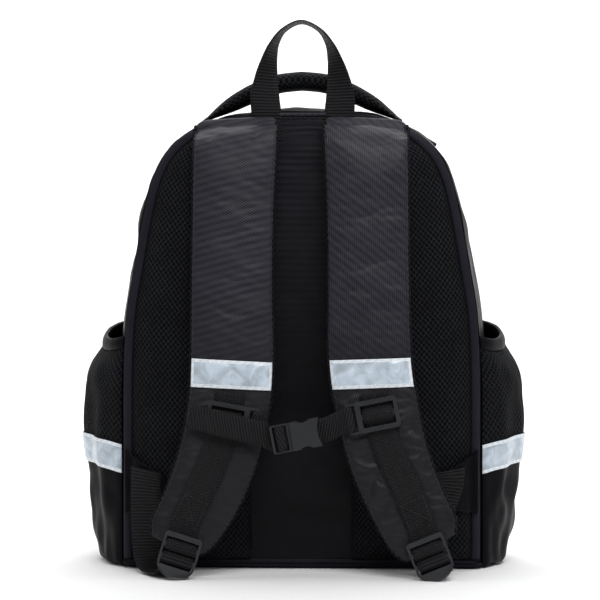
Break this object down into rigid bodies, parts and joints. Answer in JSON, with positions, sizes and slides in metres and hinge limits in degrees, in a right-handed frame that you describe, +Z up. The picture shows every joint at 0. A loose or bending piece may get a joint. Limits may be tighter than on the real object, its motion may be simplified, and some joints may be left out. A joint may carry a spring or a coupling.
{
  "type": "school backpack",
  "caption": "Child's school backpack with padded mesh back, padded shoulder straps with reflective bands, chest strap, grab loop, carry handle and gathered side pockets.",
  "frame": {"origin": "middle of the underside of the base panel, where the bag stands on the floor", "axes": "+Z up the bag, -Y towards the wearer's back, +X to the right as seen from the wearer's side"},
  "size_m": [0.3794, 0.2297, 0.458],
  "materials": {
    "cloth": "fine diagonal twill, satin",
    "channel": "smooth plain weave, matte",
    "mesh": "open spacer mesh, matte",
    "webbing": "ribbed webbing, matte",
    "plastic": "moulded, fine grain",
    "tape": "reflective film with a pale border"
  },
  "bodies": {
    "root": {"back_panel": "channel", "gusset_rear": "cloth", "main_zip": "webbing", "gusset_front": "cloth", "front_panel": "cloth", "base_panel": "cloth", "zip_slider": "plastic", "back_pad_left": "mesh", "back_pad_right": "mesh", "edge_binding_left": "cloth", "edge_binding_right": "cloth", "shoulder_strap_left": "cloth", "shoulder_strap_right": "cloth", "strap_tape_left": "tape", "strap_tape_right": "tape", "strap_webbing_left": "webbing", "strap_webbing_right": "webbing", "adjuster_webbing_left": "webbing", "adjuster_webbing_right": "webbing", "side_tab_left": "cloth", "side_tab_right": "cloth", "ladder_lock_left": "plastic", "ladder_lock_right": "plastic", "chest_slider_left": "plastic", "chest_slider_right": "plastic", "chest_webbing_left": "webbing", "chest_webbing_right": "webbing", "buckle_male": "plastic", "buckle_female": "plastic", "grab_loop": "webbing", "carry_handle": "mesh", "pocket_cloth_left": "cloth", "pocket_cloth_right": "cloth", "pocket_net_left": "mesh", "pocket_net_right": "mesh", "pocket_hem_left": "webbing", "pocket_hem_right": "webbing", "pocket_tape_left": "tape", "pocket_tape_right": "tape"}
  },
  "joints": []
}
